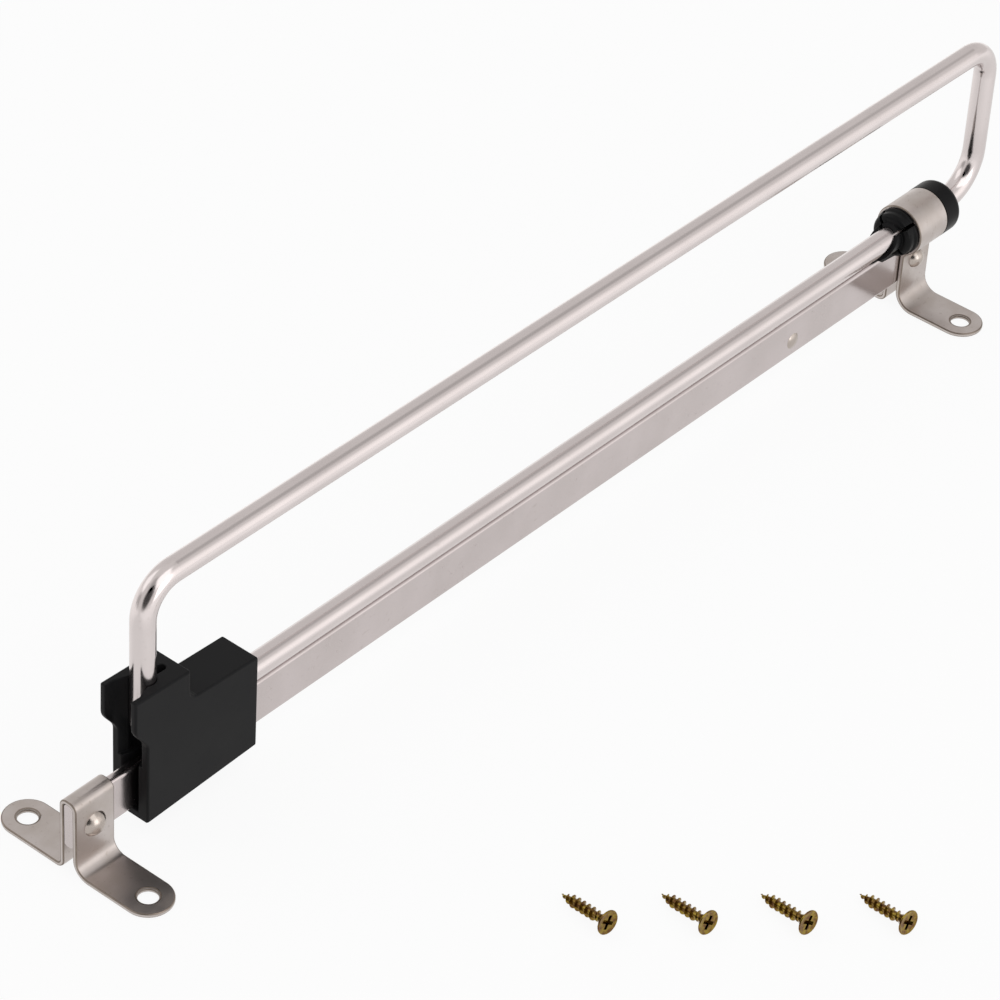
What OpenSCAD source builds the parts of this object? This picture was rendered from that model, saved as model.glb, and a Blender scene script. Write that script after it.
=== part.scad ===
// Pull-out clothes rail for the underside of a wardrobe shelf, standing on its four feet.
// +X is the way the loop pulls out, +Z points away from the mounting plane at Z = 0,
// and the origin is the centre of the rectangle of four screw holes.

/* [Mounting] */
// Distance along the rail from the rear to the front screw holes
fix_pitch = 408; // [300:1:600]
// Distance across the rail between the two screw holes of a bracket
fix_span = 50; // [44:1:80]
// Diameter of the screw holes
hole_d = 6.4; // [4:0.1:6.6]
// Diameter of the countersink round each screw hole
sink_d = 7.2; // [6.8:0.1:9]

/* [Brackets] */
// Width of the steel strip that both brackets are bent from
strip_w = 16; // [14:0.5:20]
// Thickness of the steel strip
sheet_t = 1.5; // [1.2:0.1:2]
// Inside radius of the rear bracket's bend to its near foot
rear_near_bend = 4.5; // [2:0.1:5]
// Inside radius of the front bracket's bend to its near foot
front_near_bend = 5.8; // [2:0.1:6]
// Inside radius of both brackets' bend to the far foot
far_bend = 1.6; // [1:0.1:4]
// Inside radius of the rear bracket's fold over the rail
fold_r = 1.2; // [0.6:0.1:1.8]
// Outside radius of the necks where the front strap leaves its ring
neck_r = 2.4; // [1:0.1:3]

/* [Rail] */
// Thickness of the flat rail
rail_t = 3.6; // [3:0.1:5]
// Height of the flat rail
rail_h = 16.3; // [15:0.1:20]
// Rounding of the rail's long edges
rail_edge = 1.3; // [0.4:0.1:1.4]
// Height of the rail's underside above the mounting plane
rail_lift = 9.8; // [9:0.1:16]
// Gap between the top of the rail and the rod above it
rod_gap = 1.4; // [0.8:0.1:2]

/* [Loop] */
// Diameter of the rod
rod_d = 8; // [7:0.1:8.4]
// Distance between the two uprights of the loop
loop_len = 419; // [418:1:421]
// Height of the hanging rod above the sliding rod
loop_h = 58; // [50:1:90]
// Centreline radius of the two upper bends
bend_r = 12; // [9:0.5:20]
// Centreline radius of the lower front bend
low_bend_r = 15; // [10:0.5:20]
// Gap between the bush and the lower bend when the loop is pushed home
park_gap = 2.7; // [1:0.1:4]

/* [Bush] */
// Diameter of the bush inside the strap's ring
bush_d = 16; // [15:0.1:17]
// Diameter of the front collar
collar_d = 19.2; // [18.6:0.1:22]
// Length of the front collar
collar_len = 8.6; // [5:0.1:12]
// Rounding of the collar's front rim
collar_round = 2.6; // [1:0.1:3]
// Length of the snap fingers behind the ring
tail_len = 5; // [4.5:0.1:7]
// Diameter of the snap fingers behind their catch
finger_d = 16.2; // [14:0.1:16.6]
// Rounding of the snap fingers' rear ends
finger_round = 1.9; // [0.6:0.1:2.4]
// Diameter over the snap fingers' catch
catch_d = 17.4; // [17.2:0.1:18.6]
// Width of the slits between the snap fingers
slit_w = 1.2; // [0.8:0.1:2]
// Length of the slanted trough under the rod, behind the snap fingers
trough_len = 9.4; // [6:0.1:12]

/* [Slider block] */
// Width of the block across the rail
block_w = 14.8; // [13.5:0.1:18]
// Length of the block ahead of the rod's upright
block_front = 41.8; // [30:0.5:60]
// Length of the tall cheeks behind the rod's upright
cheek_rear = 10.5; // [8:0.1:14]
// Length of the block behind the upright below the cheeks
foot_rear = 5.4; // [4.6:0.1:7]
// Distance from the upright to the step in the block's top
step_front = 12.6; // [11:0.1:16]
// Height of the cheeks' top rear edge above the sliding rod
cheek_top = 24.9; // [20:0.1:30]
// Height of the block's lower top above the sliding rod, at the step
box_top = 13; // [10:0.1:16]
// Plastic below the rail at the block's rear
under_t = 3; // [2.8:0.1:6]
// Slope of the block's tops in degrees
block_draft = 2.5; // [0:0.5:3]
// Slope of the block's underside in degrees
under_draft = 2.1; // [0:0.1:2.2]
// Width of the snap throat behind the rod's seat
throat_w = 7; // [6:0.1:7.6]
// Width of the open mouth between the cheeks
mouth_w = 10.7; // [9:0.1:11.5]
// Gap between the rod's upright end and the sliding rod, inside the block
leg_gap = 4; // [0.6:0.1:6]
// Width of the relief slit ahead of the rod's seat
relief_w = 2.8; // [1.5:0.1:4]
// Distance from the step back to the end of the relief slit
relief_back = 3.5; // [2:0.1:5]

/* [Rivets and stop] */
// Diameter of the rivet shanks
rivet_d = 4; // [3:0.1:5]
// Head diameter of the rear rivet
rear_head_d = 8.5; // [7:0.1:10]
// Head diameter of the front rivet
front_head_d = 7.2; // [6.5:0.1:9]
// Height of both rivets' domed heads
head_h = 2.6; // [1:0.1:3]
// Height of the rear rivet above the mounting plane
rear_rivet_z = 16.4; // [15:0.1:20]
// Height of the front rivet above the mounting plane
front_rivet_z = 17.8; // [16.5:0.1:18.6]
// Distance of the stop pin behind the front screw holes
stop_back = 69; // [40:1:160]
// Height of the stop pin above the rail's underside
stop_rise = 6.5; // [5:0.1:10]
// Head diameter of the stop pin
stop_head_d = 6; // [4:0.1:7]
// Height of the stop pin's heads
stop_head_h = 1; // [0.8:0.1:1.6]
// Diameter of the stop pin's shank
stop_d = 3; // [2:0.1:3.6]

/* [Loose screws] */
// Length of a fixing screw
screw_len = 20; // [14:1:30]
// Diameter of a fixing screw over its thread
screw_d = 4; // [3:0.1:4.5]
// Head diameter of a fixing screw
screw_head_d = 8; // [7:0.1:9]
// Number of fixing screws, one for each foot
screw_count = 4; // [4:1:4]

/* [Hidden] */
$fn = 96;

// Named clearances
strap_clear = 0.1;
seat_clear = 0.05;
run_clear = 0.1;
slide_clear = 0.3;
over = 2;

// Places that follow from the sizes above
rear_x = -fix_pitch / 2;
front_x = fix_pitch / 2;
rail_top = rail_lift + rail_h;
rod_z = rail_top + rod_gap + rod_d / 2;
top_z = rod_z + loop_h;
leg_in = rail_t / 2 + strap_clear;
leg_out = leg_in + sheet_t;
ring_in = bush_d / 2 + seat_clear;
ring_out = ring_in + sheet_t;
strap_rear = front_x - strip_w / 2;
strap_front = front_x + strip_w / 2;
bush_front = strap_front + collar_len;
upright_front = bush_front + park_gap + low_bend_r;
upright_rear = upright_front - loop_len;

// The rail's ends sit just inside the strips, and its front top corner is cut away
end_inset = 0.3;
rail_rear = rear_x - strip_w / 2 + end_inset;
rail_front = front_x + strip_w / 2 - end_inset;
notch_back = 21;
notch_ramp = 2.3;
notch_step = 1.7;
notch_floor = rod_z - bush_d / 2 - slide_clear;
notch_x = front_x - notch_back;

// The bush's slit fingers, their catch behind the ring and the trough above the rail
slit_len = tail_len + strip_w / 2;
catch_len = 0.8;
catch_ramp = 0.8;
upper_slits = [45, 315];
lower_slits = [135, 225];
bush_rear = strap_rear - tail_len;
trough_r = rod_d / 2 + rod_gap - strap_clear;

// The block's rear edges sweep forward between the cheeks and the foot
sweep_top_share = 0.57;
sweep_low_share = 0.185;
sweep_top = rod_z + cheek_top * sweep_top_share;
sweep_low = rod_z + cheek_top * sweep_low_share;
sweep_steps = 10;
seat_r = rod_d / 2 + run_clear;
mouth_depth_share = 0.43;
relief_front = step_front - relief_back;
step_fillet = 3;
window_w = rail_t + 2 * slide_clear;
window_low = rail_lift - slide_clear;
lead_w = 7;
lead_len = 3;
seat_end = rail_top + rod_gap;
leg_end = rod_z + rod_d / 2 + leg_gap;
rod_end = upright_rear + rod_d / 2 + 2 * run_clear + relief_w / 2;

// The four loose screws lie in a slanting row beside the rail
screw_row_x = -121.7;
screw_row_y = -131.7;
screw_step_x = 20.4;
screw_step_y = -21.4;
screw_turn = 7;
screw_rim = 0.5;
screw_tip = 5;
screw_core_d = 2.8;

// A pie slice that keeps the part of a round between two angles
module slice(r, from, to) {
    steps = ceil((to - from) / 45);
    angles = [for (i = [0:steps]) from + (to - from) * i / steps];
    intersection() {
        children();
        polygon(concat([[0, 0]], [for (a = angles) 2 * r * [cos(a), sin(a)]]));
    }
}

// A bent length of strip seen edge on, with its inside radius and two angles
module bend(r, from, to) {
    slice(r + sheet_t, from, to) difference() {
        circle(r + sheet_t);
        circle(r);
    }
}

// One leg and foot seen along the rail, on the +Y side, up to a given height
module leg_profile(r, top) {
    translate([leg_in, sheet_t + r]) square([sheet_t, top - sheet_t - r]);
    translate([leg_out + r, sheet_t + r]) bend(r, 180, 270);
    translate([leg_out + r, 0]) square([fix_span / 2 + strip_w - leg_out - r, sheet_t]);
}

// Turns a section drawn in Y and Z into a solid of a given length along X
module along_x(from, len) {
    translate([from, 0, 0]) rotate([90, 0, 90]) linear_extrude(len) children();
}

// Turns a side view drawn in X and Z into a solid centred on the rail
module across_y(width) {
    translate([0, width / 2, 0]) rotate([90, 0, 0]) linear_extrude(width) children();
}

// A cylinder through the whole width of the rail and brackets
module cross_hole(x, z, d) {
    translate([x, 0, z]) rotate([90, 0, 0])
        cylinder(h = 2 * (leg_out + over), d = d, center = true);
}

// Plan outline of a strip with full-round feet, standing up to a given height
module foot_outline(x, height) {
    translate([x, 0, -over]) linear_extrude(height + 2 * over) union() {
        square([strip_w, fix_span], center = true);
        for (side = [-1, 1]) translate([0, side * fix_span / 2]) circle(strip_w / 2);
    }
}

// The two countersunk screw holes of a bracket
module screw_holes(x) {
    sink_h = (sink_d - hole_d) / 2;
    for (side = [-1, 1]) translate([x, side * fix_span / 2, 0]) {
        translate([0, 0, -over]) cylinder(h = sheet_t + 2 * over, d = hole_d);
        translate([0, 0, sheet_t - sink_h]) cylinder(h = sink_h, d1 = hole_d, d2 = sink_d);
    }
}

// A bracket cut from its bent section, with feet, screw holes and a rivet hole
module bracket(x, rivet_z, height) {
    difference() {
        intersection() {
            along_x(x - strip_w / 2, strip_w) children();
            foot_outline(x, height);
        }
        screw_holes(x);
        cross_hole(x, rivet_z, rivet_d + 2 * seat_clear);
    }
}

module rail_section() {
    half = rail_t / 2 - rail_edge;
    union() {
        translate([-rail_t / 2, rail_lift + rail_edge]) square([rail_t, rail_h - 2 * rail_edge]);
        translate([-half, rail_lift]) square([2 * half, rail_h]);
        for (side = [-1, 1]) {
            translate([side * half, rail_lift + rail_edge]) circle(rail_edge);
            translate([side * half, rail_top - rail_edge]) circle(rail_edge);
        }
    }
}

// The corner that is cut away at the rail's front, grown by a clearance
module notch_side(clear) {
    ramp_z = rail_top - notch_step;
    polygon([
        [notch_x - clear, rail_top + over], [notch_x - clear, rail_top - clear],
        [notch_x + notch_ramp - clear, ramp_z - clear], [strap_rear, notch_floor - clear],
        [rail_front + over, notch_floor - clear], [rail_front + over, rail_top + over]]);
}

module rail() {
    color([0.76, 0.72, 0.71]) difference() {
        along_x(rail_rear, rail_front - rail_rear) rail_section();
        across_y(2 * rail_t) notch_side(strap_clear);
        cross_hole(rear_x, rear_rivet_z, rivet_d + 2 * seat_clear);
        cross_hole(front_x, front_rivet_z, rivet_d + 2 * seat_clear);
        cross_hole(front_x - stop_back, rail_lift + stop_rise, stop_d + 2 * seat_clear);
    }
}

module rear_saddle() {
    inside_top = rail_top + strap_clear;
    corner_z = inside_top - fold_r;
    color([0.66, 0.62, 0.6]) bracket(rear_x, rear_rivet_z, inside_top + sheet_t) union() {
        leg_profile(far_bend, corner_z);
        mirror([1, 0]) leg_profile(rear_near_bend, corner_z);
        translate([leg_in - fold_r, corner_z]) bend(fold_r, 0, 90);
        translate([fold_r - leg_in, corner_z]) bend(fold_r, 90, 180);
        translate([fold_r - leg_in, inside_top]) square([2 * (leg_in - fold_r), sheet_t]);
    }
}

module front_strap() {
    neck_y = leg_out + neck_r;
    neck_drop = sqrt(pow(ring_out + neck_r, 2) - pow(neck_y, 2));
    neck_angle = atan2(neck_drop, neck_y);
    color([0.66, 0.62, 0.6]) bracket(front_x, front_rivet_z, rod_z + ring_out) union() {
        translate([0, rod_z]) bend(ring_in, -neck_angle, 180 + neck_angle);
        translate([neck_y, rod_z - neck_drop]) bend(neck_r, 180 - neck_angle, 180);
        translate([-neck_y, rod_z - neck_drop]) bend(neck_r, 0, neck_angle);
        leg_profile(far_bend, rod_z - neck_drop);
        mirror([1, 0]) leg_profile(front_near_bend, rod_z - neck_drop);
    }
}

// A domed head that stands on the plane Z = 0
module dome(d, h) {
    ball_r = (pow(d / 2, 2) + pow(h, 2)) / (2 * h);
    rotate_extrude() intersection() {
        translate([0, h - ball_r]) circle(ball_r);
        square([d, h]);
    }
}

// A rivet across the rail: a shank and a domed head on each face
module rivet(x, z, shank, head, h, half) {
    translate([x, 0, z]) rotate([90, 0, 0]) union() {
        cylinder(h = 2 * half, d = shank, center = true);
        for (side = [0, 1]) mirror([0, 0, side]) translate([0, 0, half]) dome(head, h);
    }
}

module rear_rivet() {
    color([0.72, 0.69, 0.67]) rivet(rear_x, rear_rivet_z, rivet_d, rear_head_d, head_h, leg_out);
}

module front_rivet() {
    color([0.72, 0.69, 0.67]) rivet(front_x, front_rivet_z, rivet_d, front_head_d, head_h, leg_out);
}

module stop_pin() {
    color([0.76, 0.72, 0.71]) rivet(front_x - stop_back, rail_lift + stop_rise,
        stop_d, stop_head_d, stop_head_h, rail_t / 2);
}

// Turned form of the bush, drawn as radius against distance from the ring's rear face
module bush_section() {
    finger_r = finger_d / 2;
    collar_r = collar_d / 2;
    finger_end = finger_round - tail_len;
    catch_end = -slide_clear - catch_len;
    collar_end = strip_w + collar_len;
    round_start = collar_end - collar_round;
    union() {
        polygon([
            [0, -tail_len], [finger_r - finger_round, -tail_len], [finger_r - finger_round, finger_end],
            [finger_r, finger_end], [finger_r, catch_end - catch_ramp], [catch_d / 2, catch_end],
            [catch_d / 2, -slide_clear], [bush_d / 2, -slide_clear], [bush_d / 2, strip_w],
            [collar_r, strip_w], [collar_r, round_start], [collar_r - collar_round, round_start],
            [collar_r - collar_round, collar_end], [0, collar_end]]);
        translate([finger_r - finger_round, finger_end]) circle(finger_round);
        translate([collar_r - collar_round, round_start]) circle(collar_round);
    }
}

// Slits along the fingers, turned about the rod by angles from the top
module bush_slits(angles) {
    for (a = angles) translate([bush_rear - over, 0, rod_z]) rotate([a, 0, 0])
        translate([0, -slit_w / 2, 0]) cube([slit_len + over, slit_w, catch_d]);
}

// The head of the bush, with its lowest finger cut flat along the rail's notch
module bush_head() {
    difference() {
        translate([strap_rear, 0, rod_z]) rotate([0, 90, 0]) rotate_extrude() bush_section();
        bush_slits(lower_slits);
        difference() {
            translate([notch_x, -catch_d, rail_lift]) cube([strap_rear - notch_x, 2 * catch_d, rail_h]);
            across_y(3 * catch_d) notch_side(0);
        }
    }
}

// The tongue that fills the rail's notch up to the trough
module bush_tongue() {
    intersection() {
        across_y(rail_t) notch_side(0);
        translate([notch_x, -rail_t, rail_lift])
            cube([strap_rear - notch_x + slide_clear, 2 * rail_t, rod_z - rail_lift]);
    }
}

// The trough that carries the rod behind the head, ending on a slant
module bush_trough() {
    rear = bush_rear - trough_len - over;
    slant = trough_len / 2;
    difference() {
        translate([rear, 0, rod_z]) rotate([0, 90, 0])
            cylinder(h = over + trough_len + tail_len / 2, r = trough_r);
        across_y(4 * trough_r) polygon([
            [bush_rear - 3 * slant, rod_z - 2 * trough_r], [bush_rear + slant, rod_z + 2 * trough_r],
            [bush_rear - 3 * slant, rod_z + 2 * trough_r]]);
    }
}

module guide_bush() {
    color([0.13, 0.13, 0.13]) difference() {
        union() {
            bush_head();
            bush_tongue();
            bush_trough();
        }
        translate([strap_rear - notch_back - over, 0, rod_z]) rotate([0, 90, 0])
            cylinder(h = notch_back + strip_w + collar_len + 2 * over, d = rod_d + 2 * run_clear);
        bush_slits(upper_slits);
    }
}

// A quarter of a ring of rod, from one angle to the next in the plane of the loop
module rod_bend(x, z, r, from) {
    translate([x, 0, z]) rotate([90, 0, 0]) rotate([0, 0, from])
        rotate_extrude(angle = 90) translate([r, 0]) circle(d = rod_d);
}

module rod_along_x(from, to, z) {
    translate([from, 0, z]) rotate([0, 90, 0]) cylinder(h = to - from, d = rod_d);
}

module rod_upright(x, from, to) {
    translate([x, 0, from]) cylinder(h = to - from, d = rod_d);
}

module loop_rod() {
    color([0.8, 0.76, 0.75]) union() {
        rod_along_x(rod_end, upright_front - low_bend_r, rod_z);
        rod_bend(upright_front - low_bend_r, rod_z + low_bend_r, low_bend_r, 270);
        rod_upright(upright_front, rod_z + low_bend_r, top_z - bend_r);
        rod_bend(upright_front - bend_r, top_z - bend_r, bend_r, 0);
        rod_along_x(upright_rear + bend_r, upright_front - bend_r, top_z);
        rod_bend(upright_rear + bend_r, top_z - bend_r, bend_r, 90);
        rod_upright(upright_rear, leg_end, top_z - bend_r);
    }
}

// Smooth sweep of the rear edge, forward by the difference of the two rear lengths
function sweep(t) = -cheek_rear + (cheek_rear - foot_rear) * t * t * (3 - 2 * t);

// Side view of the block, with X counted from the rod's upright
module block_side() {
    slope = tan(block_draft);
    under_slope = tan(under_draft);
    rear_z = rod_z + cheek_top;
    low_z = rail_lift - under_t;
    box_z = rod_z + box_top;
    step_z = rear_z - slope * (cheek_rear + step_front);
    front_z = box_z - slope * (block_front - step_front);
    difference() {
        polygon(concat(
            [[-foot_rear, low_z], [block_front, low_z + under_slope * (block_front + foot_rear)],
                [block_front, front_z], [step_front + step_fillet, box_z - slope * step_fillet],
                [step_front, box_z + step_fillet], [step_front, step_z], [-cheek_rear, rear_z]],
            [for (i = [0:sweep_steps])
                [sweep(i / sweep_steps), sweep_top - (sweep_top - sweep_low) * i / sweep_steps]]));
        translate([step_front + step_fillet, box_z + step_fillet]) circle(step_fillet);
    }
}

// Plan of the rod's seat: open mouth, snap throat, round seat and relief slit
module seat_plan() {
    mouth_end = -cheek_rear + (cheek_rear - rod_d / 4) * mouth_depth_share;
    union() {
        circle(seat_r);
        polygon([
            [-cheek_rear - over, -mouth_w / 2], [mouth_end, -mouth_w / 2], [-rod_d / 4, -throat_w / 2],
            [0, -throat_w / 2], [0, throat_w / 2], [-rod_d / 4, throat_w / 2],
            [mouth_end, mouth_w / 2], [-cheek_rear - over, mouth_w / 2]]);
        translate([0, -relief_w / 2]) square([relief_front - relief_w / 2, relief_w]);
        translate([relief_front - relief_w / 2, 0]) circle(relief_w / 2);
    }
}

// Plan of the rail's window, flared at both ends
module window_plan() {
    polygon([
        [-foot_rear - over, -lead_w / 2], [-foot_rear, -lead_w / 2], [lead_len - foot_rear, -window_w / 2],
        [block_front - lead_len / 2, -window_w / 2], [block_front + over, -window_w / 2 - over],
        [block_front + over, window_w / 2 + over], [block_front - lead_len / 2, window_w / 2],
        [lead_len - foot_rear, window_w / 2], [-foot_rear, lead_w / 2], [-foot_rear - over, lead_w / 2]]);
}

module slider_block() {
    color([0.14, 0.14, 0.14]) translate([upright_rear, 0, 0]) difference() {
        across_y(block_w) block_side();
        translate([0, 0, seat_end]) linear_extrude(loop_h) seat_plan();
        translate([0, 0, window_low]) linear_extrude(rod_z - window_low) window_plan();
        translate([0, 0, rod_z]) rotate([0, 90, 0]) cylinder(h = block_front + over, r = seat_r);
    }
}

// One screw lying on its head's rim and its thread, pointing along +Y from its head
module screw() {
    cone_h = (screw_head_d - screw_d) / 2;
    straight = screw_len - screw_tip;
    dip = atan((screw_head_d - screw_d) / 2 / (straight - screw_rim));
    rim_z = screw_head_d / 2 * cos(dip) + screw_rim * sin(dip);
    translate([0, 0, rim_z]) rotate([-90 - dip, 0, 0]) union() {
        cylinder(h = screw_rim, d = screw_head_d);
        translate([0, 0, screw_rim]) cylinder(h = cone_h, d1 = screw_head_d, d2 = screw_d);
        translate([0, 0, screw_rim]) cylinder(h = straight - screw_rim, d = screw_d);
        translate([0, 0, straight]) cylinder(h = screw_tip, d1 = screw_d, d2 = 0);
    }
}

module fixing_screws() {
    color([0.62, 0.5, 0.24]) for (i = [0:screw_count - 1])
        translate([screw_row_x + i * screw_step_x, screw_row_y + i * screw_step_y, 0])
            rotate([0, 0, -screw_turn]) screw();
}

rail();
rear_saddle();
rear_rivet();
front_strap();
front_rivet();
stop_pin();
guide_bush();
loop_rod();
slider_block();
fixing_screws();
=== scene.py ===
import math
import bmesh
import bpy
from mathutils import Matrix, Vector


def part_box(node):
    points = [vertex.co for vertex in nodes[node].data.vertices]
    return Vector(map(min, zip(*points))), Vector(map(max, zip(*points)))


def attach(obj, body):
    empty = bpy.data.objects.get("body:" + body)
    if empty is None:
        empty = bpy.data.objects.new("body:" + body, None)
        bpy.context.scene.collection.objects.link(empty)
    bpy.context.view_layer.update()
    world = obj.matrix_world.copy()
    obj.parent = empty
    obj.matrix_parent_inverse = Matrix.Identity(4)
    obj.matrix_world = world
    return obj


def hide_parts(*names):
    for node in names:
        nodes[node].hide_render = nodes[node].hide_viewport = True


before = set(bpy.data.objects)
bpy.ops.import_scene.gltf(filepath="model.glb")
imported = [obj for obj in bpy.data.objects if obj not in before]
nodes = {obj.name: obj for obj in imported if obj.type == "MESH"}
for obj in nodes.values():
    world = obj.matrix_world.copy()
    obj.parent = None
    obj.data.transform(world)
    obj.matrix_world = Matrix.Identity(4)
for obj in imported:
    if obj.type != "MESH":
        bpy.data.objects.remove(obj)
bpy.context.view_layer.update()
print("frame loaded:", ", ".join(sorted(nodes)))

mm = 0.001
plainWhite = (1, 1, 1, 1)

# Where the photograph was taken from, in millimetres and degrees
cameraView = {
    "location": (-872.2, -671.6, 869.9),
    "azimuth": -51.81,
    "elevation": 37.66,
    "roll": 3.78,
    "lens": 155.35,
    "sensor": 36,
    "nearest": 0.05,
    "farthest": 20,
}


def placeCamera(view):
    azimuth = math.radians(view["azimuth"])
    elevation = math.radians(view["elevation"])
    roll = math.radians(view["roll"])
    back = Vector((
        math.sin(azimuth) * math.cos(elevation),
        -math.cos(azimuth) * math.cos(elevation),
        math.sin(elevation),
    ))
    level = Vector((0, 0, 1)).cross(back).normalized()
    upright = back.cross(level)
    right = level * math.cos(roll) + upright * math.sin(roll)
    up = upright * math.cos(roll) - level * math.sin(roll)
    cameraData = bpy.data.cameras.new("camera")
    cameraData.lens = view["lens"]
    cameraData.sensor_width = view["sensor"]
    cameraData.clip_start = view["nearest"]
    cameraData.clip_end = view["farthest"]
    camera = bpy.data.objects.new("camera", cameraData)
    bpy.context.scene.collection.objects.link(camera)
    turn = Matrix((right, up, back)).transposed().to_4x4()
    camera.matrix_world = Matrix.Translation(Vector(view["location"]) * mm) @ turn
    bpy.context.scene.camera = camera


# The studio, in metres: a white floor, a pale room that the plating mirrors, three soft lamps
studio = {
    "floorSize": 6.0,
    "floorDrop": 0.2 * mm,         # keeps it clear of the undersides that lie on it
    "floorColour": (0.86, 0.86, 0.86),
    "floorGlow": 0.91,             # how much of the floor's white comes from its own colour
    # The floor glows for the plating's reflections alone, a painted pool of light: dimmer near the
    # rail, brighter away from it
    "mirroredFloor": (0.95, 0.935, 0.92),
    "nearFloor": {"width": 0.03, "strength": 1.0},     # how bright the plating mirrors the
    "farFloor": {"width": 0.22, "strength": 1.3},      # floor, by the distance from the rail
    "daylight": 0.68,              # what the room adds to the lamps
    "roomColour": (1.0, 0.975, 0.955),
    "roomBase": 0.84,              # how bright the plating mirrors the room between its panels
    # Brighter and darker parts of the room: direction, half-width in degrees, soft edge, change
    "panels": [
        {"towards": (0.33, -0.93, 0.14), "width": 0, "softness": 41, "change": 0.6},
        {"towards": (0.62, -0.15, 0.768), "width": 2, "softness": 15, "change": -0.3},
        {"towards": (0.62, 0.5, 0.6), "width": 14, "softness": 20, "change": -0.06},
        {"towards": (-0.78, -0.4, 0.46), "width": 21, "softness": 9, "change": -0.78},
        {"towards": (-0.75, 0.65, 0.15), "width": 8, "softness": 16, "change": -0.45},
        {"towards": (-0.5, -0.1, 0.86), "width": 4, "softness": 20, "change": -0.32},
        {"towards": (-0.5, 0.85, 0.0), "width": 0, "softness": 40, "change": 0.2},
    ],
    "lamps": {
        "key": {"from": (-0.3, -1.4, 2.0), "size": 1.8, "watts": 8},
        "fill": {"from": (-0.1, -1.9, 0.55), "size": 1.1, "watts": 5},
        "back": {"from": (-0.9, 1.7, 1.6), "size": 1.6, "watts": 4},
    },
}


def addNode(tree, kind, operation=None, inputs=()):
    # A shader node whose inputs are numbers, colours or other nodes' outputs, in order
    node = tree.nodes.new(kind)
    if operation:
        node.operation = operation
    for place, value in enumerate(inputs):
        if isinstance(value, bpy.types.NodeSocket):
            tree.links.new(value, node.inputs[place])
        else:
            node.inputs[place].default_value = value
    return node


def calculate(tree, operation, first, second=0.0):
    return addNode(tree, "ShaderNodeMath", operation, (first, second)).outputs[0]


def shaderOf(tree, kind, *inputs):
    return addNode(tree, kind, inputs=inputs).outputs[0]


def mapRange(tree, value, fromLow, fromHigh, toLow, toHigh):
    # A value carried smoothly from one range to another, and held at both ends
    spread = tree.nodes.new("ShaderNodeMapRange")
    spread.interpolation_type = "SMOOTHSTEP"
    tree.links.new(value, spread.inputs["Value"])
    spread.inputs["From Min"].default_value = fromLow
    spread.inputs["From Max"].default_value = fromHigh
    spread.inputs["To Min"].default_value = toLow
    spread.inputs["To Max"].default_value = toHigh
    return spread.outputs[0]


def buildRoom(setup):
    world = bpy.data.worlds.new("room")
    bpy.context.scene.world = world
    world.use_nodes = True
    tree = world.node_tree
    tree.nodes.clear()
    direction = tree.nodes.new("ShaderNodeTexCoord").outputs["Generated"]
    level = setup["roomBase"]
    for panel in setup["panels"]:
        towards = tuple(Vector(panel["towards"]).normalized())
        facing = addNode(tree, "ShaderNodeVectorMath", "DOT_PRODUCT", (direction, towards))
        inner = math.cos(math.radians(panel["width"]))
        outer = math.cos(math.radians(panel["width"] + panel["softness"]))
        change = mapRange(tree, facing.outputs["Value"], outer, inner, 0, panel["change"])
        level = calculate(tree, "ADD", change, level)
    path = tree.nodes.new("ShaderNodeLightPath")
    glossy = path.outputs["Is Glossy Ray"]
    mirrored = calculate(tree, "MAXIMUM", glossy, path.outputs["Is Transmission Ray"])
    daylight = shaderOf(tree, "ShaderNodeBackground", plainWhite, setup["daylight"])
    room = shaderOf(tree, "ShaderNodeBackground", (*setup["roomColour"], 1), level)
    white = shaderOf(tree, "ShaderNodeBackground", plainWhite, 1)
    seen = shaderOf(tree, "ShaderNodeMixShader", mirrored, daylight, room)
    shown = shaderOf(tree, "ShaderNodeMixShader", path.outputs["Is Camera Ray"], seen, white)
    addNode(tree, "ShaderNodeOutputWorld", inputs=(shown,))


def buildFloor(setup):
    half = setup["floorSize"] / 2
    mesh = bpy.data.meshes.new("floor")
    corners = [(-half, -half, 0), (half, -half, 0), (half, half, 0), (-half, half, 0)]
    mesh.from_pydata(corners, [], [(0, 1, 2, 3)])
    floor = bpy.data.objects.new("floor", mesh)
    bpy.context.scene.collection.objects.link(floor)
    floor.location.z = -setup["floorDrop"]
    material = bpy.data.materials.new("paleFloor")
    material.use_nodes = True
    tree = material.node_tree
    tree.nodes.clear()
    matt = shaderOf(tree, "ShaderNodeBsdfDiffuse", (*setup["floorColour"], 1))
    white = shaderOf(tree, "ShaderNodeEmission", plainWhite, 1)
    # What the plating mirrors is the floor's own glow, a painted pool of light that is dimmer near
    # the rail and brighter away from it
    place = tree.nodes.new("ShaderNodeTexCoord").outputs["Object"]
    across = addNode(tree, "ShaderNodeSeparateXYZ", inputs=(place,)).outputs["Y"]
    distance = calculate(tree, "ABSOLUTE", across)
    near, far = setup["nearFloor"], setup["farFloor"]
    strength = mapRange(
        tree, distance, near["width"], far["width"], near["strength"], far["strength"],
    )
    mirrored = shaderOf(tree, "ShaderNodeEmission", (*setup["mirroredFloor"], 1), strength)
    path = tree.nodes.new("ShaderNodeLightPath")
    direct = calculate(tree, "MULTIPLY", path.outputs["Is Camera Ray"], setup["floorGlow"])
    plain = shaderOf(tree, "ShaderNodeMixShader", direct, matt, white)
    glossy = calculate(tree, "MULTIPLY", path.outputs["Is Glossy Ray"], setup["floorGlow"])
    shown = shaderOf(tree, "ShaderNodeMixShader", glossy, plain, mirrored)
    addNode(tree, "ShaderNodeOutputMaterial", inputs=(shown,))
    mesh.materials.append(material)


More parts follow.
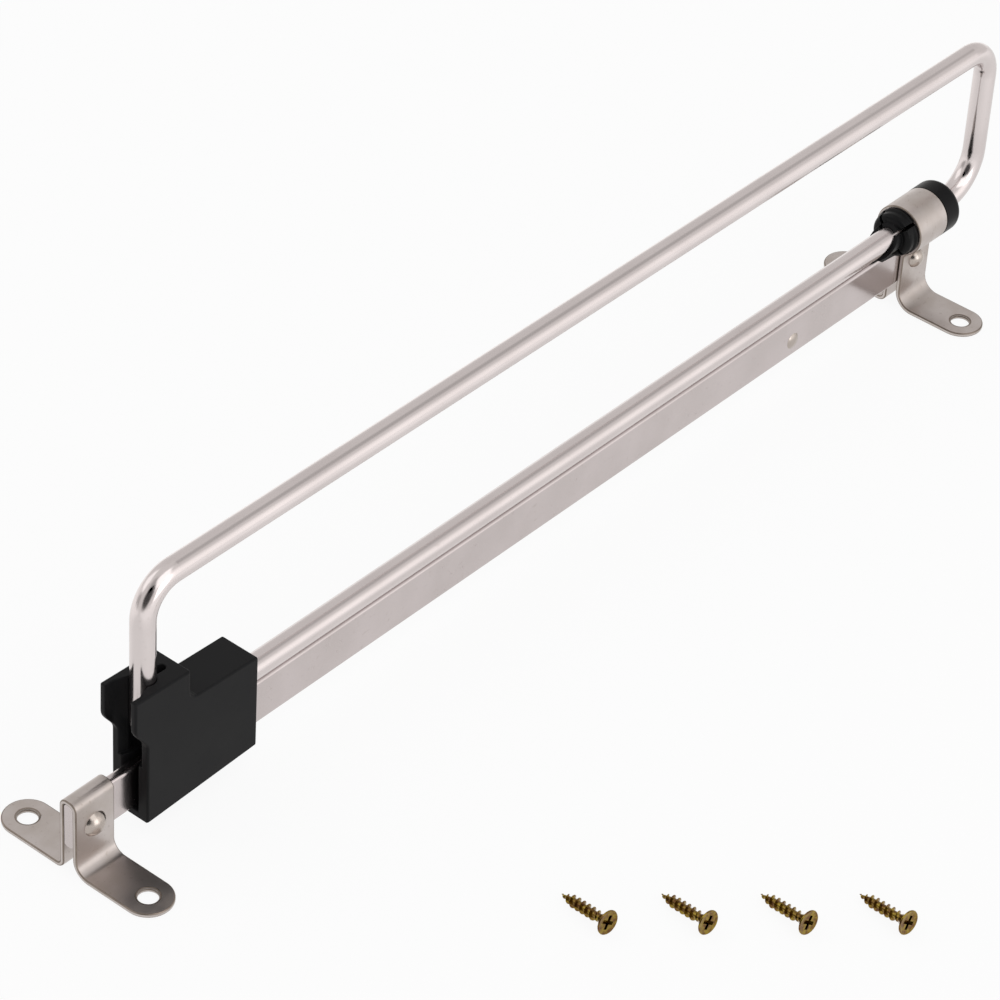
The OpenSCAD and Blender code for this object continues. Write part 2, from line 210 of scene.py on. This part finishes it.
def hangLamps(setup):
    for name, lamp in setup["lamps"].items():
        lampData = bpy.data.lights.new(name, "AREA")
        lampData.size = lamp["size"]
        lampData.energy = lamp["watts"]
        lampObject = bpy.data.objects.new(name, lampData)
        bpy.context.scene.collection.objects.link(lampObject)
        lampObject.location = lamp["from"]
        lampObject.rotation_euler = (-Vector(lamp["from"])).to_track_quat("-Z", "Y").to_euler()


bpy.context.scene.view_settings.view_transform = "Standard"
placeCamera(cameraView)
buildRoom(studio)
buildFloor(studio)
hangLamps(studio)
print("camera and studio placed")

# What every finish starts from: how fine its noise is, and where in the noise a speck shows
anyFinish = {
    "gloss": 0.5,                  # the plastics have their own
    "cloudDetail": 3,
    "cloudEdge": 0.3,              # how softly colour and tint run into each other
    "grainDetail": 2,
    "speckDetail": 2,
    "speckFrom": 0.64,
    "speckTo": 0.72,
    "speckRoughness": 0.3,         # how much rougher a speck is
}

# The finishes, with the sizes of clouds, grain and specks in millimetres
finishes = {
    "rodNickel": {
        "metal": 1.0, "roughness": 0.15, "roughnessSpread": 0.08,
        "colour": (0.685, 0.633, 0.63), "tint": (0.635, 0.583, 0.58),
        "cloudSize": 30, "grainSize": 0.8, "grainStretch": 12, "grainDepth": 0.002,
        "speckSize": 1.2, "speckDepth": 0.12, "speckColour": (0.4, 0.35, 0.32),
    },
    "brightNickel": {
        "metal": 1.0, "roughness": 0.16, "roughnessSpread": 0.1,
        "colour": (0.595, 0.54, 0.54), "tint": (0.55, 0.5, 0.495),
        "cloudSize": 18, "grainSize": 0.6, "grainStretch": 14, "grainDepth": 0.003,
        "speckSize": 1.6, "speckDepth": 0.2, "speckColour": (0.35, 0.3, 0.27),
    },
    "satinNickel": {
        "metal": 1.0, "roughness": 0.28, "roughnessSpread": 0.12,
        "colour": (0.565, 0.52, 0.503), "tint": (0.475, 0.425, 0.395),
        "cloudSize": 9, "grainSize": 0.45, "grainStretch": 2, "grainDepth": 0.006,
        "speckSize": 1.3, "speckDepth": 0.25, "speckColour": (0.28, 0.23, 0.19),
    },
    # Painted dark reflection: a darker nickel for the rounded edges of the sheet brackets, standing
    # in for the dark surroundings those edges mirror
    "paintedDarkEdgeNickel": {
        "metal": 1.0, "roughness": 0.3, "roughnessSpread": 0.15,
        "colour": (0.3, 0.255, 0.22), "tint": (0.2, 0.165, 0.14),
        "cloudSize": 6, "grainSize": 0.45, "grainStretch": 2, "grainDepth": 0.006,
        "speckSize": 1.3, "speckDepth": 0.25, "speckColour": (0.12, 0.1, 0.08),
    },
    "rivetNickel": {
        "metal": 1.0, "roughness": 0.2, "roughnessSpread": 0.06,
        "colour": (0.5, 0.45, 0.415), "tint": (0.45, 0.4, 0.365),
        "cloudSize": 12, "grainSize": 0.6, "grainStretch": 1, "grainDepth": 0.0015,
        "speckSize": 0.8, "speckDepth": 0.12, "speckColour": (0.3, 0.26, 0.23),
    },
    "blackPlastic": {
        "metal": 0.0, "gloss": 0.115, "roughness": 0.44, "roughnessSpread": 0.12,
        "colour": (0.006, 0.0062, 0.0068), "tint": (0.01, 0.0102, 0.011),
        "cloudSize": 14, "grainSize": 0.35, "grainStretch": 1, "grainDepth": 0.008,
        "speckSize": 1.5, "speckDepth": 0.3, "speckColour": (0.016, 0.016, 0.018),
    },
    "bushPlastic": {
        "metal": 0.0, "gloss": 0.11, "roughness": 0.27, "roughnessSpread": 0.1,
        "colour": (0.004, 0.0041, 0.0045), "tint": (0.006, 0.0061, 0.0066),
        "cloudSize": 9, "grainSize": 0.4, "grainStretch": 1, "grainDepth": 0.005,
        "speckSize": 1.5, "speckDepth": 0.3, "speckColour": (0.012, 0.012, 0.014),
    },
    "yellowZinc": {
        "metal": 1.0, "roughness": 0.12, "roughnessSpread": 0.14, "cloudEdge": 0.2,
        "colour": (0.26, 0.185, 0.032), "tint": (0.12, 0.055, 0.024),
        "cloudSize": 1.4, "grainSize": 0.3, "grainStretch": 1, "grainDepth": 0.006,
        "speckSize": 0.5, "speckDepth": 0.5, "speckColour": (0.03, 0.012, 0.008),
    },
}


def cloudTexture(tree, place, size, detail, stretch=1.0):
    # Noise with cells of a given size, drawn out along the rail by a given factor
    squeeze = addNode(tree, "ShaderNodeVectorMath", "MULTIPLY", (place, (1 / stretch, 1, 1)))
    noise = tree.nodes.new("ShaderNodeTexNoise")
    tree.links.new(squeeze.outputs[0], noise.inputs["Vector"])
    noise.inputs["Scale"].default_value = 1 / (size * mm)
    noise.inputs["Detail"].default_value = detail
    return noise.outputs[0]


# Where Blender's Mix node keeps its sockets for colours
colourSockets = {"share": 0, "first": 6, "second": 7, "result": 2}


def mixColours(tree, share, first, second):
    mix = tree.nodes.new("ShaderNodeMix")
    mix.data_type = "RGBA"
    tree.links.new(share, mix.inputs[colourSockets["share"]])
    for name, colour in (("first", first), ("second", second)):
        socket = mix.inputs[colourSockets[name]]
        if isinstance(colour, bpy.types.NodeSocket):
            tree.links.new(colour, socket)
        else:
            socket.default_value = colour
    return mix.outputs[colourSockets["result"]]


def makeFinish(name, changes):
    finish = {**anyFinish, **changes}
    material = bpy.data.materials.new(name)
    material.use_nodes = True
    tree = material.node_tree
    surface = tree.nodes["Principled BSDF"]
    surface.inputs["Metallic"].default_value = finish["metal"]
    surface.inputs["Specular IOR Level"].default_value = finish["gloss"]
    place = tree.nodes.new("ShaderNodeTexCoord").outputs["Object"]
    clouds = cloudTexture(tree, place, finish["cloudSize"], finish["cloudDetail"])
    edge = finish["cloudEdge"]
    clouds = mapRange(tree, clouds, 0.5 - edge, 0.5 + edge, 0, 1)      # noise lies round 0.5
    colour = mixColours(tree, clouds, (*finish["colour"], 1), (*finish["tint"], 1))
    specks = cloudTexture(tree, place, finish["speckSize"], finish["speckDetail"])
    specks = mapRange(tree, specks, finish["speckFrom"], finish["speckTo"], 0, finish["speckDepth"])
    colour = mixColours(tree, specks, colour, (*finish["speckColour"], 1))
    tree.links.new(colour, surface.inputs["Base Color"])
    grain = cloudTexture(
        tree, place, finish["grainSize"], finish["grainDetail"], finish["grainStretch"],
    )
    wear = calculate(tree, "MULTIPLY", clouds, finish["roughnessSpread"])
    speckWear = calculate(tree, "MULTIPLY", specks, finish["speckRoughness"])
    wear = calculate(tree, "ADD", wear, speckWear)
    rough = calculate(tree, "ADD", wear, finish["roughness"])
    tree.links.new(rough, surface.inputs["Roughness"])
    bump = tree.nodes.new("ShaderNodeBump")
    bump.inputs["Strength"].default_value = 1
    bump.inputs["Distance"].default_value = finish["grainDepth"] * mm
    tree.links.new(grain, bump.inputs["Height"])
    tree.links.new(bump.outputs[0], surface.inputs["Normal"])
    return material


materials = {name: makeFinish(name, finish) for name, finish in finishes.items()}
print("finishes made:", ", ".join(materials))

# How each CAD node is finished: its material, and the rounding of its edges in millimetres.
# A corner is the angle from which edges are rounded, an outline the rounding of the outer rims.
dressing = {
    "rail": {"finish": "brightNickel", "edge": 0.15},
    "loop_rod": {"finish": "rodNickel", "edge": 0.0},
    "stop_pin": {"finish": "rivetNickel", "edge": 0.0},
    # The brackets' rounded edges take the darker nickel, a painted dark reflection
    "rear_saddle": {"finish": "satinNickel", "edge": 0.4, "paintedEdgeDarkening": "paintedDarkEdgeNickel"},
    "front_strap": {"finish": "satinNickel", "edge": 0.4, "paintedEdgeDarkening": "paintedDarkEdgeNickel"},
    "rear_rivet": {"finish": "rivetNickel", "edge": 0.0},
    "front_rivet": {"finish": "rivetNickel", "edge": 0.0},
    "guide_bush": {"finish": "bushPlastic", "edge": 0.15},
    "slider_block": {"finish": "blackPlastic", "edge": 0.35, "corner": 46, "outline": 0.75},
}

# How edges are rounded, in millimetres and degrees
rounding = {
    "weld": 0.001,                 # points closer than this become one
    "flat": 0.5,                   # faces that turn by less than this become one
    "corner": 32,                  # edges that turn by more than this are rounded
    "edgeSteps": 2,
    "outlineSteps": 4,
    "near": 0.01,                  # how close to the outside an outer rim lies
}


def forgetNormals(mesh):
    # The modifiers work out their own shading, so the CAD mesh's stored normals go
    for stored in ("custom_normal", "sharp_edge"):
        if stored in mesh.attributes:
            mesh.attributes.remove(mesh.attributes[stored])
    for face in mesh.polygons:
        face.use_smooth = True


def markOutline(name):
    # The rims of a node's two outer side faces, and its upper front edge from side to side
    mesh = nodes[name].data
    lowest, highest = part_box(name)
    middle = (lowest[2] + highest[2]) / 2
    side = highest[1] - rounding["near"] * mm
    front = highest[0] - rounding["near"] * mm
    weights = mesh.attributes.new("bevel_weight_edge", "FLOAT", "EDGE")
    for edge in mesh.edges:
        ends = [mesh.vertices[index].co for index in edge.vertices]
        onSides = all(abs(end.y) > side for end in ends)
        sameSide = ends[0].y * ends[1].y > 0
        atFront = all(end.x > front and end.z > middle for end in ends)
        if onSides and (sameSide or atFront):
            weights.data[edge.index].value = 1.0


def dressNode(name, dress):
    piece = nodes[name]
    for slot in piece.material_slots:
        slot.material = materials[dress["finish"]]
    if dress["edge"]:
        forgetNormals(piece.data)
        weld = piece.modifiers.new("weld", "WELD")
        weld.merge_threshold = rounding["weld"] * mm
        flat = piece.modifiers.new("wholeFaces", "DECIMATE")
        flat.decimate_type = "DISSOLVE"
        flat.angle_limit = math.radians(rounding["flat"])
        if "outline" in dress:
            markOutline(name)
            outer = piece.modifiers.new("softOutline", "BEVEL")
            outer.width = dress["outline"] * mm
            outer.segments = rounding["outlineSteps"]
            outer.limit_method = "WEIGHT"
            outer.use_clamp_overlap = False
        soft = piece.modifiers.new("softEdges", "BEVEL")
        soft.width = dress["edge"] * mm
        soft.segments = rounding["edgeSteps"]
        soft.limit_method = "ANGLE"
        soft.angle_limit = math.radians(dress.get("corner", rounding["corner"]))
        soft.use_clamp_overlap = False
        # The rounded edges get their own darker colour, a painted dark reflection along them
        if "paintedEdgeDarkening" in dress:
            piece.data.materials.append(materials[dress["paintedEdgeDarkening"]])
            soft.material = len(piece.data.materials) - 1
        even = piece.modifiers.new("evenShading", "WEIGHTED_NORMAL")
        even.keep_sharp = False


for name, dress in dressing.items():
    dressNode(name, dress)
print("CAD pieces dressed")

# The loose fixing screws, in millimetres: places from the rail's frame, sizes of one screw
screws = {
    "count": 4,
    "first": (-121.7, -131.7),     # where the first one's head lies
    "step": (20.4, -21.4),         # from each to the next
    "turn": 7,                     # degrees away from square to the rail
    "roll": 35,                    # degrees about the screw's own axis
    "length": 20.0,
    "headWidth": 8.0,
    "rim": 0.5,                    # how far from its flat face the head rests on the ground
    "shankWidth": 4.0,             # over the thread
    "coreWidth": 2.3,
    "threadStart": 3.0,
    "pitch": 2.1,
    "crest": 0.17,                 # share of the pitch that the thread's flanks take
    "point": 5.0,
    # Outline of the head and neck as radius and depth, from the flat face down
    "head": [
        (3.25, 0.14), (3.4, 0.1), (3.62, 0.0), (3.88, 0.05), (4.0, 0.22), (3.98, 0.42), (3.6, 0.72),
        (3.0, 1.15), (2.4, 1.65), (1.9, 2.25), (1.5, 3.0),
    ],
    "sides": 28,
    "sharpAngle": 38,              # edges that turn by more than this stay sharp
    "recess": {
        "arms": 4, "width": 1.2, "span": 4.7, "depth": 1.9, "floorWidth": 0.85, "floorSpan": 2.9,
        "overshoot": 1.0,          # how far the cutter stands out of the head
    },
}


def threadRing(screw, depth):
    # One ring of points round the screw's axis: core, thread and tapering point
    taper = min(1.0, (screw["length"] - depth) / screw["point"])
    start = min(1.0, (depth - screw["threadStart"]) / screw["pitch"])
    core = screw["coreWidth"] / 2 * taper
    rise = (screw["shankWidth"] - screw["coreWidth"]) / 2 * start * math.sqrt(taper)
    ring = []
    for side in range(screw["sides"]):
        turn = side / screw["sides"]
        phase = (depth / screw["pitch"] - turn) % 1.0
        flank = max(0.0, 1 - abs(phase - 0.5) / screw["crest"])    # the crest is half a pitch in
        radius = core + rise * flank
        ring.append((radius * math.cos(math.tau * turn), radius * math.sin(math.tau * turn), depth))
    return ring


def screwBlank(screw):
    # One ring to each side of a turn, so that the thread's crest follows the triangles' edges
    sides = screw["sides"]
    rings = []
    for radius, depth in screw["head"]:
        turns = [math.tau * side / sides for side in range(sides)]
        rings.append([(radius * math.cos(turn), radius * math.sin(turn), depth) for turn in turns])
    step = screw["pitch"] / sides
    count = int((screw["length"] - screw["threadStart"]) / step)
    rings += [threadRing(screw, screw["threadStart"] + step * number) for number in range(1, count)]
    build = bmesh.new()
    loops = [[build.verts.new(Vector(point) * mm) for point in ring] for ring in rings]
    tip = build.verts.new((0, 0, screw["length"] * mm))
    build.faces.new(loops[0])
    for side in range(sides):
        after = (side + 1) % sides
        for upper, lower in zip(loops, loops[1:]):
            build.faces.new((upper[side], lower[side], lower[after]))
            build.faces.new((upper[side], lower[after], upper[after]))
        build.faces.new((loops[-1][side], tip, loops[-1][after]))
    bmesh.ops.recalc_face_normals(build, faces=build.faces)
    mesh = bpy.data.meshes.new("screw")
    build.to_mesh(mesh)
    build.free()
    return mesh


def crossRing(build, arms, span, width, depth):
    # The outline of a cross, once round, at one depth: each arm's end and the corner after it
    reach, half = span / 2, width / 2
    ring = []
    for arm in range(arms):
        turn = Matrix.Rotation(math.tau * arm / arms, 3, "Z")
        for x, y in ((reach, -half), (reach, half), (half, half)):
            ring.append(build.verts.new(turn @ Vector((x, y, depth)) * mm))
    return ring


def crossCutter(recess):
    # A tapered cross that cuts the recess in the screw's head
    build = bmesh.new()
    levels = [
        (recess["span"], recess["width"], -recess["overshoot"]),
        (recess["span"], recess["width"], 0.0),
        (recess["floorSpan"], recess["floorWidth"], recess["depth"]),
    ]
    rings = [crossRing(build, recess["arms"], *level) for level in levels]
    build.faces.new(rings[0])
    build.faces.new(rings[-1])
    for upper, lower in zip(rings, rings[1:]):
        for corner in range(len(upper)):
            after = (corner + 1) % len(upper)
            build.faces.new((upper[corner], upper[after], lower[after], lower[corner]))
    bmesh.ops.recalc_face_normals(build, faces=build.faces)
    mesh = bpy.data.meshes.new("cutter")
    build.to_mesh(mesh)
    build.free()
    cutter = bpy.data.objects.new("cutter", mesh)
    bpy.context.scene.collection.objects.link(cutter)
    return cutter


def screwMesh(screw):
    blank = bpy.data.objects.new("blank", screwBlank(screw))
    bpy.context.scene.collection.objects.link(blank)
    cutter = crossCutter(screw["recess"])
    cut = blank.modifiers.new("recess", "BOOLEAN")
    cut.operation = "DIFFERENCE"
    cut.solver = "EXACT"
    cut.object = cutter
    graph = bpy.context.evaluated_depsgraph_get()
    mesh = bpy.data.meshes.new_from_object(blank.evaluated_get(graph))
    for piece in (blank, cutter):
        bpy.data.objects.remove(piece)
    for face in mesh.polygons:
        face.use_smooth = True
    mesh.set_sharp_from_angle(angle=math.radians(screw["sharpAngle"]))
    return mesh


def layScrews(screw):
    # Each lies on its head's rim and its thread, as the CAD screws do
    shape = screwMesh(screw)
    straight = screw["length"] - screw["point"]
    drop = (screw["headWidth"] - screw["shankWidth"]) / 2
    dip = math.atan(drop / (straight - screw["rim"]))
    height = screw["headWidth"] / 2 * math.cos(dip) + screw["rim"] * math.sin(dip)
    for number in range(screw["count"]):
        x = screw["first"][0] + number * screw["step"][0]
        y = screw["first"][1] + number * screw["step"][1]
        place = Matrix.Translation(Vector((x, y, height)) * mm)
        place = place @ Matrix.Rotation(math.radians(-screw["turn"]), 4, "Z")
        place = place @ Matrix.Rotation(-math.pi / 2 - dip, 4, "X")
        place = place @ Matrix.Rotation(math.radians(screw["roll"]), 4, "Z")
        mesh = shape.copy()
        mesh.transform(place)
        mesh.materials.clear()
        mesh.materials.append(materials["yellowZinc"])
        piece = bpy.data.objects.new(f"woodScrew{number + 1}", mesh)
        bpy.context.scene.collection.objects.link(piece)
        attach(piece, "fixed_rail")
        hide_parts("fixing_screws")


layScrews(screws)
print("screws laid out:", screws["count"])
